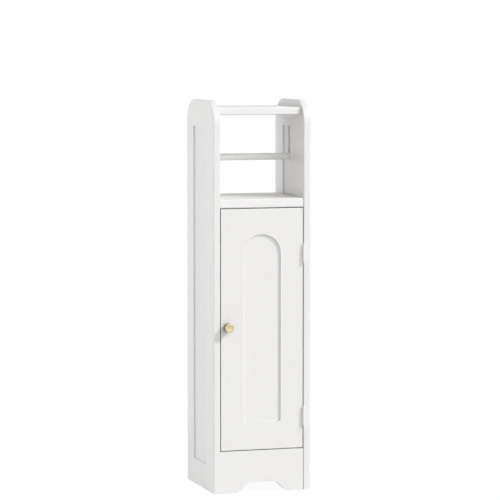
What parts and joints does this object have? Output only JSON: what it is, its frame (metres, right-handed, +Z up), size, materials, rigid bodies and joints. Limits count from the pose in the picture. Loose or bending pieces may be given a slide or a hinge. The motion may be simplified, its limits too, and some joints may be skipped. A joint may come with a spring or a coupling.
{
  "type": "toilet roll storage cabinet",
  "caption": "Tall narrow white cabinet with a rounded-top frame-and-panel side each side, an open bay with a drop-in roll rod, and a cupboard with an arched-recess door.",
  "frame": {"origin": "on the ground, in the middle of the box that the cabinet and its knob fill", "axes": "+Z up; -Y the way the door faces; +X towards the hinged edge of the door"},
  "size_m": [0.204, 0.2064, 0.78],
  "materials": {
    "painted_frame": "satin white paint over wood",
    "painted_panel": "satin white paint over panel board",
    "painted_rod": "satin white paint",
    "hinge_steel": "white lacquer",
    "fitting_steel": "bright zinc",
    "knob_brass": "satin",
    "dowel_beech": "plain",
    "catch_plastic": "matt"
  },
  "bodies": {
    "carcass": {"left_front_stile": "painted_frame", "left_rear_stile": "painted_frame", "left_top_rail": "painted_frame", "left_bottom_rail": "painted_frame", "left_panel": "painted_panel", "right_front_stile": "painted_frame", "right_rear_stile": "painted_frame", "right_top_rail": "painted_frame", "right_bottom_rail": "painted_frame", "right_panel": "painted_panel", "top_shelf": "painted_frame", "bay_floor": "painted_frame", "bottom_board": "painted_frame", "base_rail": "painted_frame", "back_panel": "painted_panel", "inner_shelf": "painted_panel", "shelf_pins": "fitting_steel", "cam_discs": "fitting_steel", "cam_bolts": "fitting_steel", "board_dowels": "dowel_beech", "upper_case_leaf": "hinge_steel", "lower_case_leaf": "hinge_steel", "upper_hinge_pin": "hinge_steel", "lower_hinge_pin": "hinge_steel", "case_leaf_screws": "fitting_steel", "catch_case": "catch_plastic", "catch_poles": "fitting_steel", "catch_screws": "fitting_steel"},
    "door": {"door_slab": "painted_frame", "knob": "knob_brass", "knob_screw": "fitting_steel", "upper_door_leaf": "hinge_steel", "lower_door_leaf": "hinge_steel", "door_leaf_screws": "fitting_steel", "strike_plate": "fitting_steel", "strike_screw": "fitting_steel"},
    "rod": {"holder_rod": "painted_rod"}
  },
  "joints": [
    {"name": "door_hinge", "type": "hinge", "parent": "carcass", "child": "door", "pos_m": [0.08625, -0.08755, 0.3125], "axis": [0, 0, 1], "range_deg": [0, 175]},
    {"name": "holder_rod_lift", "type": "slide", "parent": "carcass", "child": "rod", "axis": [0, 0, 1], "range_m": [0, 0.05]}
  ]
}
